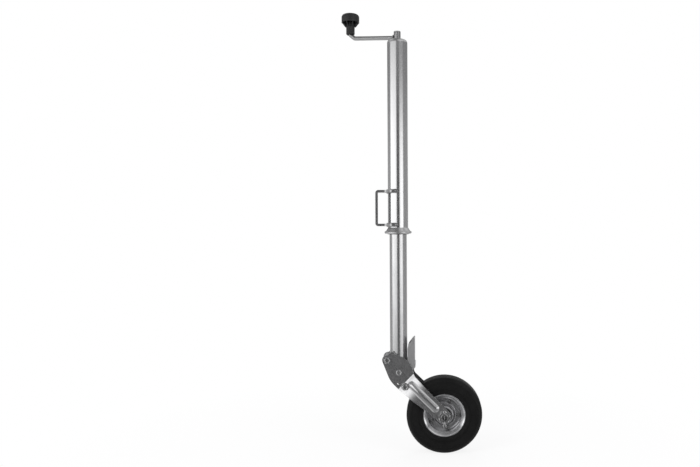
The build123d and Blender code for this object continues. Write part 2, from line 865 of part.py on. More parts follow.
def rim_half():
    """Near half of the split rim, pressed from sheet: flange, well, bolted disc, ridge, bearing seat."""
    seat = bearing_radius
    floor = bearing_outboard - bearing_width
    flange_foot = well_radius + rim_sheet
    outer = [
        (rim_radius, rim_half_width),
        (rim_radius - rim_sheet, rim_half_width),
        (flange_foot + crease, well_end + rim_sheet + crease),
        (well_radius, well_end + crease),
        (well_radius, rim_sheet + crease),
        (well_radius - crease, rim_sheet),
        (ridge_radius + 1.5 * crease, rim_sheet),
        (ridge_radius + crease, ridge_height - 2 * crease),
        (ridge_radius + crease / 2, ridge_height - crease / 2),
        (ridge_radius - crease / 2, ridge_height - crease / 2),
        (ridge_radius - crease, ridge_height - 2 * crease),
        (ridge_radius - rim_sheet, floor - rim_sheet),
        (seat + rim_sheet + crease, floor - rim_sheet),
        (seat + rim_sheet, floor - rim_sheet + crease),
        (seat + rim_sheet, bearing_outboard),
        (seat + rim_sheet - crease, bearing_outboard + crease),
        (seat - crease, bearing_outboard + crease),
        (seat - crease, bearing_outboard + seat_gap),
    ]
    inner = [
        (seat, bearing_outboard + seat_gap),
        (seat, floor - 2 * rim_sheet + crease),
        (seat + crease, floor - 2 * rim_sheet),
        (ridge_radius - rim_sheet - crease, floor - 2 * rim_sheet),
        (ridge_radius - crease / 3, ridge_height - rim_sheet - crease),
        (ridge_radius - crease / 3, 0),
        (well_radius - crease, 0),
        (well_radius + rim_sheet, rim_sheet + crease),
        (well_radius + rim_sheet, well_end),
        (flange_foot + rim_sheet, well_end + crease),
        (rim_radius, rim_half_width - rim_sheet),
    ]
    shape = turned(*outer, *inner)
    for place in rim_bolt_places():
        shape -= place * disc(rim_bolt_radius + pin_gap, -rim_sheet, 2 * rim_sheet)
    return shape


def rim_bolt_places():
    step = 360 / rim_bolt_count
    angles = [rim_bolt_turn + step * number for number in range(rim_bolt_count)]
    return [Rot(0, 0, angle) * Pos(rim_bolt_circle, 0, 0) for angle in angles]


def rim_bolts():
    one = disc(rim_bolt_radius, -rim_sheet, rim_sheet + rim_nut_height + crease)
    one += hexagon(rim_bolt_flats, -rim_sheet - rim_bolt_head, -rim_sheet)
    return on_axle(Compound(children=[place * one for place in rim_bolt_places()]))


def rim_nuts():
    top = rim_sheet + rim_nut_height
    one = hexagon(rim_bolt_flats, rim_sheet, top) - disc(rim_bolt_radius + pin_gap, 0, 2 * top)
    return on_axle(Compound(children=[place * one for place in rim_bolt_places()]))


def tyre():
    """Solid rubber tyre seated in the rim, a line round each side and grooves round the tread."""
    flange_foot = well_radius + rim_sheet
    side = tyre_half_width
    half = [
        (flange_foot + seat_gap, 0),
        (flange_foot + seat_gap, well_end - seat_gap),
        (flange_foot + rim_sheet, well_end + crease - 2 * seat_gap),
        (rim_radius, rim_half_width - rim_sheet - 2 * seat_gap),
        (rim_radius + seat_gap, rim_half_width),
        (rim_radius + crease, rim_half_width + crease),
        (side_line - side_line_depth, side - 2 * side_line_depth),
        (side_line + side_line_depth / 2, side - side_line_depth),
        (wheel_radius - 2 * shoulder, side),
        (wheel_radius - shoulder, side - shoulder * 0.03),
        (wheel_radius - shoulder * 0.75, side - shoulder * 0.12),
        (wheel_radius - shoulder * 0.43, side - shoulder * 0.33),
        (wheel_radius - shoulder * 0.17, side - shoulder * 0.68),
        (wheel_radius - shoulder * 0.05, side - shoulder * 1.07),
        (wheel_radius, side - shoulder * 1.6),
    ]
    other = [(radius, -out) for radius, out in reversed(half[1:])]
    rubber = turned(*half, *other)
    for level in (-tread_groove_place, tread_groove_place):
        low = level - tread_groove_width / 2
        rubber -= ring(2 * wheel_radius, wheel_radius - tread_groove_depth, low, low + tread_groove_width)
    return on_axle(rubber)


save("outer_tube", outer_tube())
save("guide_bush", guide_bush())
save("top_cap", top_cap())
save("grip_handle", grip_handle())
save("race_upper", race(dome_top - cap_wall - race_height, -1))

save("spindle", spindle())
save("race_lower", race(dome_top - cap_wall - 2 * race_height - race_spacing, 1))
save("thrust_balls", thrust_balls())
save("crank_hub", crank_hub())
save("crank_pin", crank_pin())
save("crank_arm", crank_arm())
save("knob_clip", knob_clip())
save("knob", knob())

save("inner_tube", inner_tube())
save("spindle_nut", spindle_nut())
save("guide_ring", guide_ring())
save("ear_near", ear())
save("ear_far", mirror(ear(), Plane.XZ))
save("pivot_sleeve", pivot_sleeve())
save("pivot_bolt", bolt(pivot_place, cheek_outer + free_gap))
save("pivot_nut", bolt_nut(pivot_place, cheek_outer + free_gap))
save("pivot_washers", bolt_washers(pivot_place, cheek_outer + free_gap))

near_plate = fork_plate()
save("fork_plate_near", fork_frame() * near_plate)
save("fork_plate_far", fork_frame() * mirror(near_plate, Plane.XZ))
cross_at = fork_point(*cross_place)
save("cross_bolt", bolt(cross_at, cross_boss_face))
save("cross_nut", bolt_nut(cross_at, cross_boss_face))
save("cross_washers", bolt_washers(cross_at, cross_boss_face))
save("cross_spacer", cross_spacer())
save("latch_studs", latch_studs())
save("axle", axle())
save("axle_pins", axle_pins())
save("axle_spacers", axle_spacers())
save("axle_washers", axle_washers())
save("axle_nuts", axle_nuts())
save("bearing_inner_near", bearing_inner())
save("bearing_inner_far", mirror(bearing_inner(), Plane.XZ))
save("bearing_spacer", bearing_spacer())

save("latch_channel", latch_channel())
save("latch_prop", latch_prop())

save("tyre", tyre())
save("rim_near", on_axle(rim_half()))
save("rim_far", mirror(on_axle(rim_half()), Plane.XZ))
save("rim_bolts", rim_bolts())
save("rim_nuts", rim_nuts())
save("bearing_outer_near", bearing_outer())
save("bearing_outer_far", mirror(bearing_outer(), Plane.XZ))
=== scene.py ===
import json
import math
import random

import bmesh
import bpy
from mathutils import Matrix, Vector


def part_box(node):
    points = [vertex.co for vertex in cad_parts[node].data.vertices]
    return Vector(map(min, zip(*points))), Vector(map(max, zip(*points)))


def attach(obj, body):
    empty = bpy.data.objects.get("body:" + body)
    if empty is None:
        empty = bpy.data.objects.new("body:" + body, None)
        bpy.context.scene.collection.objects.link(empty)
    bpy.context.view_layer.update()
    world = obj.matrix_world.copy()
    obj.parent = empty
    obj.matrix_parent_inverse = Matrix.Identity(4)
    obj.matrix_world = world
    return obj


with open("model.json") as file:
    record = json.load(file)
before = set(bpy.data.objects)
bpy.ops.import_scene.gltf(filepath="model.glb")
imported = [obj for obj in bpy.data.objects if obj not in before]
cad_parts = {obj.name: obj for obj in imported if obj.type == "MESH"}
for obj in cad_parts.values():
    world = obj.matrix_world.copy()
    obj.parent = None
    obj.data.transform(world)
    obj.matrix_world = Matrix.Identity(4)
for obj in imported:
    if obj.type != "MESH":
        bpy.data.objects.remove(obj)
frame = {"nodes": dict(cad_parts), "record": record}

random.seed(7)
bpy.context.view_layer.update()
nodes = frame["nodes"]

# Lengths are metres, angles are degrees unless they are passed on in radians.
# z is 0 in the middle of the clamped stretch of tube, and y runs across the fork.

MOUTH = -0.340  # lower end of the outer tube
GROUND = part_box("tyre")[0].z
SIDES = ((-1, "near"), (1, "far"))


def middle(name):
    """Middle of a node's box."""
    low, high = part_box(name)
    return (low + high) / 2


PIVOT = middle("pivot_sleeve")
AXLE = middle("axle")
CROSS = middle("cross_spacer")


# Scales of the metal's grain, in cells per metre, and the height of its relief
CRYSTALS = 900
DRAWN_LINES = 1500
METAL_RELIEF = 0.00002

# Grooves on the tyre's sides, in radians per metre of radius
MOULD_RINGS = 5200.0

# Rim's tone along its radius, as painted light: painted shade in the duller bands and a painted highlight
# in the brighter band near the lip
RIM_PAINTED_BANDS = (
    (0.048, 1.0),
    (0.053, 0.62),
    (0.057, 0.66),
    (0.0588, 1.1),
    (0.0610, 1.1),
    (0.0620, 0.6),
    (0.0630, 0.5),
)


# Nodes of a material


def add(tree, kind, inputs=None, **settings):
    """Add a shader node; an input is either a socket to link or a value to set."""
    made = tree.nodes.new("ShaderNode" + kind)
    for name, value in settings.items():
        setattr(made, name, value)
    for name, value in (inputs or {}).items():
        socket = made.inputs[name]
        if isinstance(value, bpy.types.NodeSocket):
            tree.links.new(value, socket)
        else:
            socket.default_value = value
    return made


def grey(value):
    """Neutral grey with a trace of blue, as zinc has it."""
    return (value, value, value * 1.01, 1.0)


def noise(tree, coords, scale, detail=3.0, stretch=(1, 1, 1)):
    """Noise between 0 and 1, stretched along the axes."""
    mapped = add(tree, "Mapping", {"Vector": coords, "Scale": stretch}).outputs["Vector"]
    made = add(tree, "TexNoise", {"Vector": mapped, "Scale": scale, "Detail": detail})
    return made.outputs["Fac"]


def span(tree, value, low, high, start=0.3, end=0.7):
    """Value taken from start..end to low..high."""
    ends = {"From Min": start, "From Max": end, "To Min": low, "To Max": high}
    return add(tree, "MapRange", {"Value": value, **ends}).outputs["Result"]


def maths(tree, operation, first, second=0.0):
    """Result of a calculation with one or two values."""
    return add(tree, "Math", {0: first, 1: second}, operation=operation).outputs[0]


def blend_colour(tree, factor, first, second, mode="MIX"):
    """Two colours combined; each is a socket or a colour."""
    made = add(tree, "Mix", {"Factor": factor}, data_type="RGBA", blend_type=mode)
    for socket, value in ((made.inputs[6], first), (made.inputs[7], second)):
        if isinstance(value, bpy.types.NodeSocket):
            tree.links.new(value, socket)
        else:
            socket.default_value = value
    return made.outputs[2]


def new_material(name):
    """Empty material, its shader and its object coordinates."""
    material = bpy.data.materials.new(name)
    material.use_nodes = True
    tree = material.node_tree
    tree.nodes.clear()
    shader = add(tree, "BsdfPrincipled")
    out = add(tree, "OutputMaterial")
    tree.links.new(shader.outputs["BSDF"], out.inputs["Surface"])
    return material, tree, shader, add(tree, "TexCoord").outputs["Object"]


def wear(tree, radius):
    """Factor from 0 on flat ground to 1 on an edge, and the normal with that edge rounded."""
    rounded = add(tree, "Bevel", {"Radius": radius}, samples=4).outputs["Normal"]
    flat = add(tree, "NewGeometry").outputs["Normal"]
    same = add(tree, "VectorMath", {0: rounded, 1: flat}, operation="DOT_PRODUCT").outputs["Value"]
    return span(tree, same, 1.0, 0.0, 0.80, 0.99), rounded


def bump(tree, height, strength, distance, normal=None):
    """Normal with a relief pressed into it."""
    inputs = {"Height": height, "Strength": strength, "Distance": distance}
    if normal is not None:
        inputs["Normal"] = normal
    return add(tree, "Bump", inputs).outputs["Normal"]


def painted_shade(tree, colour, distance, deep, unshaded_share=0.62):
    """Colour painted darker in holes and corners: a painted shade where light doesn't reach.

    Deep is the tone at the bottom of the painted shade, and unshaded share is the open share from which
    the colour is itself.
    """
    # Painted shade: ambient occlusion darkens the colour in holes, corners and between parts.
    open_share = add(tree, "AmbientOcclusion", {"Distance": distance}, samples=24).outputs["AO"]
    return blend_colour(tree, span(tree, open_share, 0.0, 1.0, unshaded_share - 0.54, unshaded_share), grey(deep), colour)


def from_axle(tree, coords):
    """Distance from the wheel's axis."""
    place = add(tree, "Mapping", {"Vector": coords, "Location": -AXLE}).outputs["Vector"]
    flat = add(tree, "Mapping", {"Vector": place, "Scale": (1, 0, 1)}).outputs["Vector"]
    return add(tree, "VectorMath", {0: flat}, operation="LENGTH").outputs["Value"]


def paint_light_bands(tree, coords, colour, stops):
    """Colour with painted light in bands round the axle: painted shade in the duller bands and painted
    highlight in the brighter; stops are radius and share.
    """
    reach = stops[-1][0]
    made = add(tree, "ValToRGB", {"Fac": span(tree, from_axle(tree, coords), 0, 1, 0, reach)})
    elements = made.color_ramp.elements
    elements[0].color = grey(stops[0][1])
    elements[1].color = grey(stops[-1][1])
    for distance, share in stops[:-1]:
        elements.new(distance / reach).color = grey(share)
    return blend_colour(tree, 1.0, colour, made.outputs["Color"], "MULTIPLY")


def zinc(
    name,
    tone,
    gloss,
    mottle=0.10,
    mottle_scale=60,
    grain=0.25,
    stretch=(1, 1, 1),
    edge=0.0005,
    metal=0.9,
    shade_reach=0.016,
    unshaded_share=0.62,
    light_bands=None,
):
    """Zinc plated steel: cloudy tone, fine crystals, drawing lines, brighter worn edges, painted shade in
    recesses, and painted shade and highlight in bands round the axle where bands are given.

    Gloss is the roughness, and a metal share below 1 is the dull film on the zinc.
    Shade reach is how near the walls of a recess have to be for the painted shade to darken it.
    """
    material, tree, shader, coords = new_material(name)
    clouds = noise(tree, coords, mottle_scale, 5, stretch)
    crystals = add(tree, "TexVoronoi", {"Vector": coords, "Scale": CRYSTALS}).outputs["Color"]
    specks = add(tree, "SeparateColor", {"Color": crystals}).outputs["Red"]
    drawn = (1, 1, 1) if stretch == (1, 1, 1) else (1, 1, 0.02)
    lines = noise(tree, coords, DRAWN_LINES, 2, drawn)
    shade = maths(tree, "ADD", span(tree, clouds, -1, 1), span(tree, specks, -0.45, 0.45, 0, 1))
    shade = maths(tree, "ADD", shade, span(tree, lines, -0.5, 0.5))
    factor = span(tree, shade, 0, 1, -1.6, 1.6)
    edges, rounded = wear(tree, edge)
    body = blend_colour(tree, factor, grey(tone * (1 - mottle)), grey(min(tone * (1 + mottle), 0.95)))
    surface_colour = blend_colour(tree, edges, body, grey(min(tone * 1.2, 0.95)))
    # Painted light: where bands are given, painted shade and a painted highlight in rings round the axle.
    if light_bands:
        surface_colour = paint_light_bands(tree, coords, surface_colour, light_bands)
    # Painted shade: the colour darkens in recesses, holes and corners.
    colour = painted_shade(tree, surface_colour, shade_reach, tone * 0.06, unshaded_share)
    tree.links.new(colour, shader.inputs["Base Color"])
    shader.inputs["Metallic"].default_value = metal
    rough = span(tree, shade, gloss * 1.18, gloss * 0.85, -1.5, 1.5)
    tree.links.new(rough, shader.inputs["Roughness"])
    relief = maths(tree, "ADD", maths(tree, "MULTIPLY", specks, 0.4), lines)
    tree.links.new(bump(tree, relief, grain, METAL_RELIEF, rounded), shader.inputs["Normal"])
    return material


def plastic(name, tone, rough, grain_scale=1400, grain=0.35, edge=0.0006):
    """Moulded plastic with a fine eroded grain, brighter worn edges and painted shade in its recesses."""
    material, tree, shader, coords = new_material(name)
    clouds = noise(tree, coords, 45, 4)
    texture = noise(tree, coords, grain_scale, 2)
    edges, rounded = wear(tree, edge)
    body = blend_colour(tree, span(tree, clouds, 0, 1), grey(tone * 0.82), grey(tone * 1.18))
    surface_colour = blend_colour(tree, edges, body, grey(tone * 1.9))
    # Painted shade: the colour darkens in recesses and corners.
    tree.links.new(painted_shade(tree, surface_colour, 0.02, tone * 0.12), shader.inputs["Base Color"])
    tree.links.new(span(tree, texture, rough * 1.15, rough * 0.88), shader.inputs["Roughness"])
    shader.inputs["Specular IOR Level"].default_value = 0.35
    tree.links.new(bump(tree, texture, grain, 0.00012, rounded), shader.inputs["Normal"])
    return material


def rubber(name):
    """Black rubber with moulding rings round the axle and a dusty bloom."""
    material, tree, shader, coords = new_material(name)
    radius = from_axle(tree, coords)
    rings = maths(tree, "SINE", maths(tree, "MULTIPLY", radius, MOULD_RINGS))
    bloom = noise(tree, coords, 28, 5)
    grit = noise(tree, coords, 1100, 3)
    tone = blend_colour(tree, span(tree, bloom, 0, 1), grey(0.0045), grey(0.007))
    tree.links.new(tone, shader.inputs["Base Color"])
    tree.links.new(span(tree, bloom, 0.50, 0.60), shader.inputs["Roughness"])
    shader.inputs["Specular IOR Level"].default_value = 0.20
    relief = maths(tree, "ADD", maths(tree, "MULTIPLY", rings, 0.25), grit)
    tree.links.new(bump(tree, relief, 0.3, 0.0001), shader.inputs["Normal"])
    return material


# A finish for each material slot of the record, then one for each node that differs from its slot.
# The numbers of zinc are tone, gloss, mottle, mottle_scale and grain; those of plastic, tone and rough.
materials = {
    "tube_zinc": zinc("tube_zinc", 0.60, 0.18, 0.03, 30, 0.08, (1, 1, 0.05), metal=0.92),
    "leg_zinc": zinc("leg_zinc", 0.56, 0.22, 0.06, 80, 0.18, (1, 1, 0.2), metal=0.90),
    "pressed_zinc": zinc("pressed_zinc", 0.60, 0.19, 0.03, 50, 0.10, metal=0.91),
    # The rim gets painted shade and a painted highlight in bands round the axle, and painted shade in its
    # recesses.
    "rim_zinc": zinc("rim_zinc", 0.66, 0.15, 0.03, 50, 0.0, metal=0.78, shade_reach=0.010, light_bands=RIM_PAINTED_BANDS),
    "bright_zinc": zinc("bright_zinc", 0.74, 0.16, 0.05, 120, 0.12, edge=0.0003, metal=0.95),
    "crank_zinc": zinc("crank_zinc", 0.38, 0.30, 0.06, 60, 0.14, metal=0.95),
    "bearing_steel": zinc("bearing_steel", 0.32, 0.22, 0.06, 120, 0.10, metal=0.97),
    "nut_iron": zinc("nut_iron", 0.22, 0.45, 0.15, 150, 0.5),
    "guide_plastic": plastic("guide_plastic", 0.035, 0.55),
    "knob_plastic": plastic("knob_plastic", 0.017, 0.46),
    "tyre_rubber": rubber("tyre_rubber"),
}
weld_metal = zinc("weld_metal", 0.48, 0.34, 0.22, 160, 0.6)
own_finish = {
    "latch_channel": zinc("latch_zinc", 0.58, 0.40, 0.06, 90, 0.25),
    "grip_handle": zinc("handle_zinc", 0.37, 0.27, 0.06, 60, 0.14, metal=0.9),
    "pivot_bolt": zinc("bolt_zinc", 0.34, 0.26, 0.05, 120, 0.15, edge=0.0003, metal=0.95),
    "latch_studs": zinc("stud_zinc", 0.54, 0.24, 0.05, 120, 0.15, edge=0.0003, metal=0.88),
    # The axle's bore is painted nearly black, a painted shade that reaches far into it.
    "axle": zinc("axle_zinc", 0.50, 0.24, 0.05, 120, 0.15, edge=0.0003, metal=0.95, shade_reach=0.09, unshaded_share=1.0),
}
own_finish["cross_bolt"] = own_finish["pivot_bolt"]


def dress(piece, material):
    """Give a piece one material."""
    piece.data.materials.clear()
    piece.data.materials.append(material)


for part in frame["record"]["subparts"]:
    dress(nodes[part["node"]], materials[part["material_slot"]])
for name, finish in own_finish.items():
    dress(nodes[name], finish)


# Pieces


def new_piece(name, mesh, body, slot, material=None, smooth=True):
    """Piece from a bmesh that rides on a body."""
    bmesh.ops.recalc_face_normals(mesh, faces=mesh.faces)
    data = bpy.data.meshes.new(name)
    mesh.to_mesh(data)
    mesh.free()
    if smooth:
        data.shade_smooth()
    piece = bpy.data.objects.new(name, data)
    bpy.context.scene.collection.objects.link(piece)
    dress(piece, material or materials[slot])
    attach(piece, body)
    return piece


def tube_along(mesh, path, radii, sides=12, closed=False):
    """Skin a round section of changing radius along a path of points."""
    loops = []
    count = len(path)
    side = None
    for index, point in enumerate(path):
        before = path[(index - 1) % count] if closed or index else path[0]
        after = path[(index + 1) % count] if closed or index < count - 1 else path[-1]
        ahead = (after - before).normalized()
        if side is None:
            side = ahead.orthogonal().normalized()
        side = (side - ahead * side.dot(ahead)).normalized()
        up = ahead.cross(side)
        loop = []
        for step in range(sides):
            turn = 2 * math.pi * step / sides
            spoke = side * math.cos(turn) + up * math.sin(turn)
            loop.append(mesh.verts.new(point + spoke * radii[index]))
        loops.append(loop)
    pairs = list(zip(loops, loops[1:])) + ([(loops[-1], loops[0])] if closed else [])
    for first, second in pairs:
        for step in range(sides):
            after = (step + 1) % sides
            mesh.faces.new((first[step], first[after], second[after], second[step]))
    if not closed:
        mesh.faces.new(list(reversed(loops[0])))
        mesh.faces.new(loops[-1])


def weld_run(name, path, radius, body, slot, pitch=0.0026):
    """Weld bead of overlapping ripples along a path."""
    mesh = bmesh.new()
    travelled = 0.0
    radii = []
    for index, point in enumerate(path):
        if index:
            travelled += (point - path[index - 1]).length
        ripple = 0.86 + 0.14 * abs(math.sin(math.pi * travelled / pitch))
        taper = min(1.0, 0.45 + min(index, len(path) - 1 - index) * 0.12)
        radii.append(radius * ripple * taper * random.uniform(0.96, 1.04))
    tube_along(mesh, path, radii)
    return new_piece(name, mesh, body, slot, weld_metal)


def circle_points(centre, radius, start, end, count, axis="Z"):
    """Points on an arc about an axis through the centre, angles in degrees."""
    points = []
    for step in range(count):
        turn = math.radians(start + (end - start) * step / (count - 1))
        if axis == "Z":
            offset = Vector((math.cos(turn), math.sin(turn), 0))
        else:
            offset = Vector((math.cos(turn), 0, math.sin(turn)))
        points.append(centre + offset * radius)
    return points


def thread(name, centre, radius, start, end, pitch, body, slot="bright_zinc"):
    """Helical thread ridge round an axis across the fork, between two depths."""
    mesh = bmesh.new()
    per_turn = 36
    run_out = 9  # steps over which the ridge rises at its ends
    turns = (end - start) / pitch
    count = int(per_turn * turns) + 1
    half = pitch * 0.42
    crest = pitch * 0.30
    root = pitch * -0.02
    loops = []
    for step in range(count):
        turn = 2 * math.pi * step / per_turn
        depth = start + pitch * step / per_turn
        fade = min(1.0, step / run_out, (count - 1 - step) / run_out)
        loop = []
        top = crest * fade
        for offset, rise in ((-half, root), (-half * 0.2, top), (half * 0.2, top), (half, root)):
            out = radius + rise
            place = Vector((math.cos(turn) * out, depth + offset, math.sin(turn) * out))
            loop.append(mesh.verts.new(centre + place))
        loops.append(loop)
    for first, second in zip(loops, loops[1:]):
        for step in range(4):
            after = (step + 1) % 4
            mesh.faces.new((first[step], first[after], second[after], second[step]))
    mesh.faces.new(list(reversed(loops[0])))
    mesh.faces.new(loops[-1])
    return new_piece(name, mesh, body, slot, smooth=False)


def ring_piece(name, centre, radius, thickness, body, slot, count=96):
    """Thin round bead that runs round an axis across the fork."""
    mesh = bmesh.new()
    path = circle_points(centre, radius, 0, 360 - 360 / count, count, "Y")
    tube_along(mesh, path, [thickness] * count, 8, closed=True)
    return new_piece(name, mesh, body, slot)


# The studio


# What glossy metal mirrors, as stops of a direction in degrees and a level of light.
# Azimuth is 0 towards the camera and grows to its right; elevation is 0 at eye level.
LEFT_BOX = ((-89, 0.0), (-81, 1.0), (-16, 1.0), (-9, 0.0))
LEFT_BOX_RISE = ((-14, 0.0), (-8, 0.34), (-3, 0.9), (2, 1.0), (8, 0.95), (13, 0.5), (19, 0.0))
RIGHT_BOX = ((18, 0.0), (26, 1.0), (61, 1.0), (68, 0.0))
RIGHT_BOX_RISE = ((-14, 0.0), (-8, 0.42), (-3, 0.95), (0, 1.0), (7, 0.9), (11, 0.0))
WALLS = (
    (-180, 0.95), (-162, 0.90), (-152, 0.42), (-93, 0.43), (-80, 0.40), (-14, 0.05),
    (20, 0.05), (56, 0.34), (66, 0.36), (152, 0.40), (162, 0.90), (180, 0.95),
)
WALLS_END = ((7, 0.0), (13, 1.0))  # elevation at which the walls give way to their plain upper part
WALLS_TOP = 0.24
FLOOR_SIDE = (
    (-160, 0.5), (-130, 0.9), (-62, 1.0), (-40, 0.28),
    (38, 0.28), (60, 1.0), (100, 0.9), (140, 0.5),
)
CEILING_SIDE = (
    (-150, 0.5), (-110, 0.8), (-85, 0.4), (-40, 0.28), (5, 0.28),
    (25, 0.8), (70, 0.8), (90, 0.4), (110, 0.8), (150, 0.5),
)
FLOOR_OR_CEILING = ((-2, 0.0), (2, 1.0))
STEEP = (
    (-90, 0.5), (-80, 1.0), (-60, 1.0), (-24, 1.0),
    (24, 1.0), (60, 0.95), (74, 0.24), (90, 0.22),
)
STEEP_START = ((-24, 1.0), (-16, 0.0), (16, 0.0), (24, 1.0))

BOX_STRENGTH = 1.75
SOFT_STRENGTH = 0.62  # of the light that reaches matt surfaces
LAMPS = (  # name, place, size of the square, watts
    ("key", (-2.2, -2.6, 1.9), 1.6, 60),
    ("fill", (2.4, -2.2, 0.8), 1.4, 26),
    ("back", (0.6, 2.6, 2.0), 1.4, 22),
)
LAMP_AIM = Vector((0, 0, -0.4))


def studio():
    """World that is white to the camera, and to glossy rays a room with two tall softboxes."""
    world = bpy.data.worlds.new("studio")
    bpy.context.scene.world = world
    world.use_nodes = True
    tree = world.node_tree
    tree.nodes.clear()
    way = add(tree, "SeparateXYZ", {"Vector": add(tree, "TexCoord").outputs["Generated"]})
    behind = maths(tree, "MULTIPLY", way.outputs["Y"], -1.0)
    azimuth = maths(tree, "ARCTAN2", way.outputs["X"], behind)
    azimuth = maths(tree, "ADD", maths(tree, "MULTIPLY", azimuth, 0.5 / math.pi), 0.5)
    height = maths(tree, "ADD", maths(tree, "MULTIPLY", way.outputs["Z"], 0.5), 0.5)

    def ramp(value, stops):
        """Level along a row of stops."""
        made = add(tree, "ValToRGB", {"Fac": value})
        elements = made.color_ramp.elements
        while len(elements) < len(stops):
            elements.new(0.5)
        for element, (place, level) in zip(elements, stops):
            element.position = place
            element.color = (level, level, level, 1.0)
        return made.outputs["Color"]

    def turned(stops):
        """Level by azimuth."""
        return ramp(azimuth, [((degrees + 180) / 360, level) for degrees, level in stops])

    def raised(stops):
        """Level by elevation."""
        return ramp(height, [((1 + math.sin(math.radians(up))) / 2, level) for up, level in stops])

    room = turned(WALLS)
    left = blend_colour(tree, 1.0, turned(LEFT_BOX), raised(LEFT_BOX_RISE), "MULTIPLY")
    right = blend_colour(tree, 1.0, turned(RIGHT_BOX), raised(RIGHT_BOX_RISE), "MULTIPLY")
    boxes = blend_colour(tree, 1.0, left, right, "ADD")
    room = blend_colour(tree, raised(WALLS_END), room, grey(WALLS_TOP))
    side = blend_colour(tree, raised(FLOOR_OR_CEILING), turned(FLOOR_SIDE), turned(CEILING_SIDE))
    steep = blend_colour(tree, 1.0, raised(STEEP), side, "MULTIPLY")
    room = blend_colour(tree, raised(STEEP_START), room, steep)
    lit = add(tree, "Background", {"Color": boxes, "Strength": BOX_STRENGTH})
    walls = add(tree, "Background", {"Color": room, "Strength": 1.0})
    seen = add(tree, "AddShader", {0: lit.outputs[0], 1: walls.outputs[0]})
    soft = add(tree, "Background", {"Color": grey(1.0), "Strength": SOFT_STRENGTH})
    white = add(tree, "Background", {"Color": (1, 1, 1, 1), "Strength": 1.0})
    path = add(tree, "LightPath")
    mirrored = maths(tree, "MAXIMUM", path.outputs["Is Glossy Ray"], path.outputs["Is Transmission Ray"])
    direct = path.outputs["Is Camera Ray"]
    first = add(tree, "MixShader", {0: mirrored, 1: soft.outputs[0], 2: seen.outputs[0]})
    last = add(tree, "MixShader", {0: direct, 1: first.outputs[0], 2: white.outputs[0]})
    add(tree, "OutputWorld", {"Surface": last.outputs[0]})


def lamps():
    """Soft lamps that light the matt surfaces and don't show in the metal."""
    for name, place, size, power in LAMPS:
        lamp = bpy.data.lights.new(name, "AREA")
        lamp.shape = "RECTANGLE"
        lamp.size = lamp.size_y = size
        lamp.energy = power
        holder = bpy.data.objects.new(name, lamp)
        bpy.context.scene.collection.objects.link(holder)
        holder.location = place
        holder.rotation_euler = (LAMP_AIM - Vector(place)).to_track_quat("-Z", "Y").to_euler()
        holder.visible_glossy = False


FLOOR_HALF = 30  # half the floor's length
FLOOR_GLOW = (0.86, 1.0)  # share of plain white that the camera sees, near the wheel and far off
FLOOR_FADE = (0.25, 1.1)  # distances from the tube between which that share grows


def floor():
    """Plain white floor that shows nearly as white as the background and keeps a soft shadow."""
    mesh = bmesh.new()
    bmesh.ops.create_grid(mesh, x_segments=4, y_segments=4, size=FLOOR_HALF)
    data = bpy.data.meshes.new("floor")
    mesh.to_mesh(data)
    mesh.free()
    plane = bpy.data.objects.new("floor", data)
    bpy.context.scene.collection.objects.link(plane)
    plane.location.z = GROUND
    material = bpy.data.materials.new("floor_white")
    material.use_nodes = True
    tree = material.node_tree
    tree.nodes.clear()
    coords = add(tree, "TexCoord").outputs["Object"]
    tone = blend_colour(tree, noise(tree, coords, 3), grey(0.90), grey(0.94))
    matt = add(tree, "BsdfDiffuse", {"Color": tone})
    glow = add(tree, "Emission", {"Color": (1, 1, 1, 1), "Strength": 1.0})
    path = add(tree, "LightPath")
    away = add(tree, "VectorMath", {0: coords}, operation="LENGTH").outputs["Value"]
    glowing = span(tree, away, *FLOOR_GLOW, *FLOOR_FADE)
    share = maths(tree, "MULTIPLY", path.outputs["Is Camera Ray"], glowing)
    both = add(tree, "MixShader", {0: share, 1: matt.outputs[0], 2: glow.outputs[0]})
    add(tree, "OutputMaterial", {"Surface": both.outputs[0]})
    dress(plane, material)
    plane.visible_glossy = False


CAMERA_PLACE = (0.100, -2.242, MOUTH + 0.0018)
CAMERA_ROLL = 0.28  # lean of the object in the picture
CAMERA_LENS = 38.93  # millimetres, on a sensor of 36 millimetres
CAMERA_SHIFT = -0.117  # puts the object right of the middle of the picture


def camera():
    """Camera level with the mouth of the tube, as the photograph was taken."""
    data = bpy.data.cameras.new("camera")
    data.sensor_width = 36
    data.lens = CAMERA_LENS
    data.shift_x = CAMERA_SHIFT
    holder = bpy.data.objects.new("camera", data)
    bpy.context.scene.collection.objects.link(holder)
    holder.location = CAMERA_PLACE
    holder.rotation_euler = (math.radians(90), math.radians(CAMERA_ROLL), 0)
    bpy.context.scene.camera = holder
    bpy.context.scene.view_settings.view_transform = "Standard"


# Welds, threads and other fine pieces


GRIP_ARMS = (0.0278, 0.1268)  # middles of the grip's two arms above the mouth
GRIP_HALF_STRIP = 0.0043  # from there to the beads along an arm's edges
GRIP_WRAP = (105, 266)  # where the arms lie round the tube
GRIP_ENDS = ((103.5, "far"), (267.5, "near"))
GRIP_BEAD_REACH = 0.0325  # from the tube's axis to the beads along the edges
GRIP_BEAD = 0.0018
GRIP_END_REACH = 0.0318
GRIP_END_HALF = 0.0036  # half the length of the short beads across the ends
GRIP_END_BEAD = 0.0019


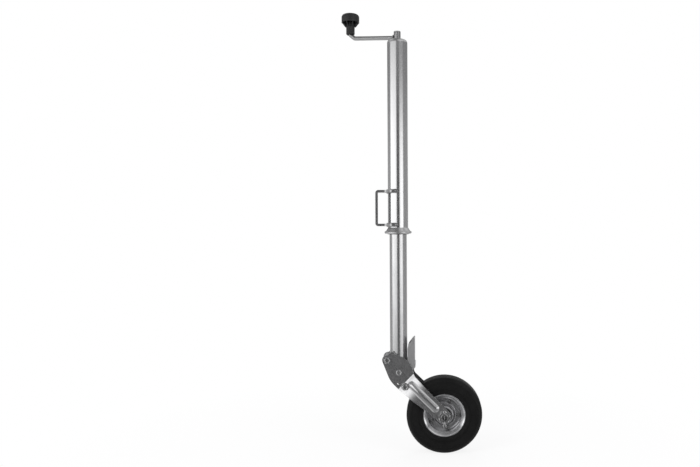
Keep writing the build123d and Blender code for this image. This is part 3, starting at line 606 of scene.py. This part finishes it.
def handle_welds():
    """Beads between the grip's arms and the tube: along both edges of each arm and across its ends."""
    for number, level in enumerate(GRIP_ARMS):
        for side, name in ((-1, "lower"), (1, "upper")):
            centre = Vector((0, 0, MOUTH + level + side * GRIP_HALF_STRIP))
            path = circle_points(centre, GRIP_BEAD_REACH, *GRIP_WRAP, 110)
            weld_run(f"handle_weld_{number}_{name}", path, GRIP_BEAD, "outer", "tube_zinc")
        for degrees, name in GRIP_ENDS:
            turn = math.radians(degrees)
            edge = Vector((math.cos(turn), math.sin(turn), 0)) * GRIP_END_REACH
            path = []
            for step in range(12):
                rise = MOUTH + level - GRIP_END_HALF + 2 * GRIP_END_HALF * step / 11
                path.append(edge + Vector((0, 0, rise)))
            weld_run(f"handle_end_{number}_{name}", path, GRIP_END_BEAD, "outer", "tube_zinc")


# Edge of an ear from its lower end to the top, from the pivot along and up
EAR_EDGE = ((0.0290, -0.007), (0.0290, 0.001), (0.0215, 0.0190), (0.0160, 0.0228), (0.0110, 0.0226))
EAR_WELD_DEPTHS = (0.0240, 0.0262)  # least and most distance from the middle plane
EAR_BEAD = 0.0021
LEG_WELD_RADIUS = 0.0262  # the bead follows the leg's round side at this distance from its axis
LEG_WELD_PROUD = 0.0004


def ear_welds():
    """Beads that join the ears to the leg, down the edge of each ear."""
    nearest, farthest = EAR_WELD_DEPTHS
    for side, name in SIDES:
        path = []
        for (x, z), (next_x, next_z) in zip(EAR_EDGE, EAR_EDGE[1:]):
            for step in range(10):
                share = step / 10
                along = PIVOT.x + x + (next_x - x) * share
                on_leg = math.sqrt(max(0.0, LEG_WELD_RADIUS**2 - along**2)) + LEG_WELD_PROUD
                depth = max(nearest, min(farthest, on_leg))
                path.append(Vector((along, side * depth, PIVOT.z + z + (next_z - z) * share)))
        weld_run(f"ear_weld_{name}", path, EAR_BEAD, "leg", "leg_zinc")


CRANK_TURN = math.radians(157.9)  # where the crank points at rest
CRANK_RISE = 0.087  # climb of the crank's rod per metre from its hub
CRANK_ROD_LEVEL = 0.0056  # middle of the rod above the hub's lower end
CRANK_WELD_REACH = 0.0122  # from the hub's axis to the ring of weld
CRANK_WELD_RING = 0.0076  # radius of that ring, which stays open below
CRANK_WELD_START = -62
CRANK_WELD_TURN = 304
CRANK_BEAD = 0.0017


def crank_weld():
    """Ripples where the crank's rod meets its hub."""
    low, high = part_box("crank_hub")
    ahead = Vector((math.cos(CRANK_TURN), math.sin(CRANK_TURN), CRANK_RISE)).normalized()
    side = ahead.cross(Vector((0, 0, 1))).normalized()
    up = side.cross(ahead)
    foot = Vector(((low.x + high.x) / 2, (low.y + high.y) / 2, low.z + CRANK_ROD_LEVEL))
    centre = foot + ahead * CRANK_WELD_REACH
    path = []
    for step in range(60):
        angle = math.radians(CRANK_WELD_START + CRANK_WELD_TURN * step / 59)
        across = side * (CRANK_WELD_RING * math.cos(angle))
        path.append(centre + across + up * (CRANK_WELD_RING * math.sin(angle)))
    weld_run("crank_weld", path, CRANK_BEAD, "crank", "crank_zinc")


BOLT_RADIUS = 0.0050
BOLT_PITCH = 0.00125
AXLE_RADIUS = 0.0100
AXLE_PITCH = 0.0015
FACE_GAP = 0.0002  # from a nut's face to the start of the thread beyond it
BOLT_TIP = 0.0007  # plain tip of a bolt, so that the thread ends inside the solid's length
AXLE_TIP = 0.0008
COLLAR = (0.0067, 0.0011)  # radius of the ring and thickness of its bead


def bolt_ends():
    """Threads on the ends of the bolts and the axle, and the collars of the lock nuts."""
    for name, place, body in (("pivot", PIVOT, "leg"), ("cross", CROSS, "fork")):
        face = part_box(f"{name}_nut")[0].y
        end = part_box(f"{name}_bolt")[0].y
        thread(f"{name}_thread", place, BOLT_RADIUS, end + BOLT_TIP, face - FACE_GAP, BOLT_PITCH, body)
        centre = Vector((place.x, face, place.z))
        ring_piece(f"{name}_collar", centre, *COLLAR, body, "bright_zinc")
    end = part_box("axle")[1].y
    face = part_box("axle_nuts")[1].y
    for side, name in SIDES:
        low, high = sorted((side * (face + FACE_GAP), side * (end - AXLE_TIP)))
        thread(f"axle_thread_{name}", AXLE, AXLE_RADIUS, low, high, AXLE_PITCH, "fork")


STUD_EDGE = (0.0064, 0.0012)  # radius of the ring and thickness of its bead
STUD_EDGE_SUNK = 0.0009  # from a stud's head to the middle of the bead


def stud_rings():
    """Rolled edges of the two rivets on which the latch turns."""
    place = middle("latch_studs")
    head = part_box("latch_studs")[1].y
    for side, name in SIDES:
        centre = Vector((place.x, side * (head - STUD_EDGE_SUNK), place.z))
        ring_piece(f"stud_ring_{name}", centre, *STUD_EDGE, "fork", "bright_zinc", 48)


MOULD_LINES = ((0.0765, 0.0350), (0.0970, 0.0347))  # radius, and distance from the middle plane
MOULD_BEAD = 0.0006


def tyre_rings():
    """Moulding lines round both sides of the tyre."""
    for side, name in SIDES:
        for number, (radius, depth) in enumerate(MOULD_LINES):
            centre = Vector((AXLE.x, side * depth, AXLE.z))
            line = f"tyre_line_{name}_{number}"
            ring_piece(line, centre, radius, MOULD_BEAD, "wheel", "tyre_rubber", 160)


studio()
lamps()
floor()
camera()
handle_welds()
ear_welds()
crank_weld()
bolt_ends()
stud_rings()
tyre_rings()
